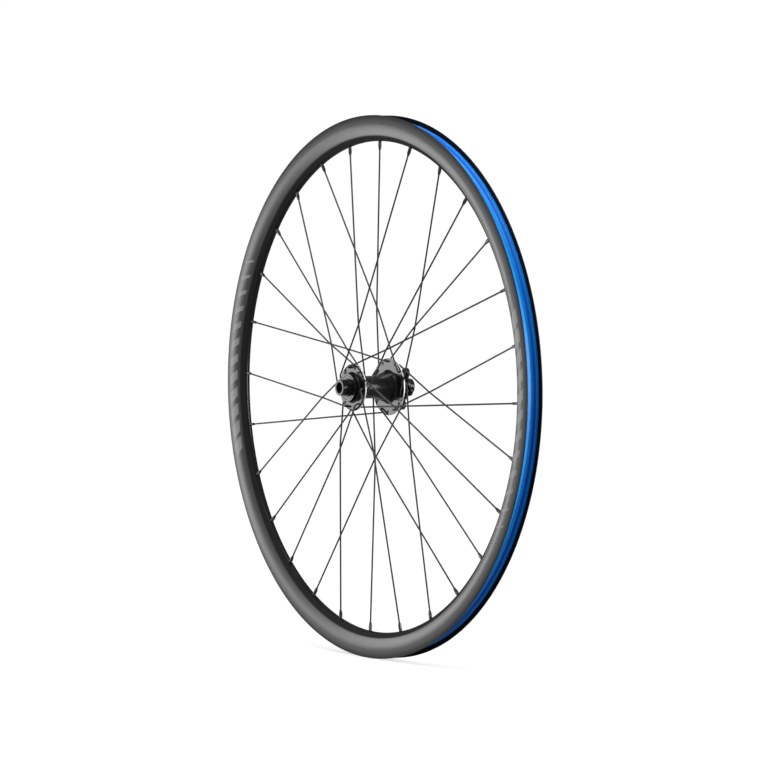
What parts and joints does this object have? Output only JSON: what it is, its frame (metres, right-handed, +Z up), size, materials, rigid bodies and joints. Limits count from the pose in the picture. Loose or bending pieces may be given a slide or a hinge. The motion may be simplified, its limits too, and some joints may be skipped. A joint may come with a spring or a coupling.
{
  "type": "bicycle wheel",
  "caption": "Front road-bicycle wheel for a disc brake: hollow black rim with blue tubeless tape, crossed wire spokes and a thru-axle hub on sealed bearings.",
  "frame": {"origin": "the wheel's centre, on the axle's axis midway between the end caps' faces", "axes": "+Y along the axle towards the brake side, +Z up towards the valve hole, the wheel lies in the XZ plane"},
  "size_m": [0.6339, 0.1, 0.634],
  "materials": {
    "rim_alloy": "black anodised, satin",
    "tape_film": "smooth blue film",
    "spoke_steel": "black coated",
    "nipple_alloy": "black anodised",
    "shell_alloy": "black anodised, polished",
    "axle_alloy": "turned",
    "cap_alloy": "black anodised, bare end faces",
    "bearing_steel": "ground",
    "seal_rubber": "moulded"
  },
  "bodies": {
    "axle": {"axle": "axle_alloy", "end_cap_brake": "cap_alloy", "end_cap_plain": "cap_alloy", "bearing_brake_inner_race": "bearing_steel", "bearing_plain_inner_race": "bearing_steel"},
    "wheel": {"bearing_brake_outer_race": "bearing_steel", "bearing_brake_sealed_balls": "seal_rubber", "bearing_plain_outer_race": "bearing_steel", "bearing_plain_sealed_balls": "seal_rubber", "hub_shell": "shell_alloy", "nipples": "nipple_alloy", "rim": "rim_alloy", "rim_tape": "tape_film", "spoke_brake_inside_1": "spoke_steel", "spoke_brake_inside_2": "spoke_steel", "spoke_brake_inside_3": "spoke_steel", "spoke_brake_inside_4": "spoke_steel", "spoke_brake_inside_5": "spoke_steel", "spoke_brake_inside_6": "spoke_steel", "spoke_brake_inside_7": "spoke_steel", "spoke_brake_outside_1": "spoke_steel", "spoke_brake_outside_2": "spoke_steel", "spoke_brake_outside_3": "spoke_steel", "spoke_brake_outside_4": "spoke_steel", "spoke_brake_outside_5": "spoke_steel", "spoke_brake_outside_6": "spoke_steel", "spoke_brake_outside_7": "spoke_steel", "spoke_plain_inside_1": "spoke_steel", "spoke_plain_inside_2": "spoke_steel", "spoke_plain_inside_3": "spoke_steel", "spoke_plain_inside_4": "spoke_steel", "spoke_plain_inside_5": "spoke_steel", "spoke_plain_inside_6": "spoke_steel", "spoke_plain_inside_7": "spoke_steel", "spoke_plain_outside_1": "spoke_steel", "spoke_plain_outside_2": "spoke_steel", "spoke_plain_outside_3": "spoke_steel", "spoke_plain_outside_4": "spoke_steel", "spoke_plain_outside_5": "spoke_steel", "spoke_plain_outside_6": "spoke_steel", "spoke_plain_outside_7": "spoke_steel"}
  },
  "joints": [
    {"name": "wheel_spin", "type": "hinge", "parent": "axle", "child": "wheel", "pos_m": [0, 0, 0], "axis": [0, 1, 0], "continuous": true}
  ]
}
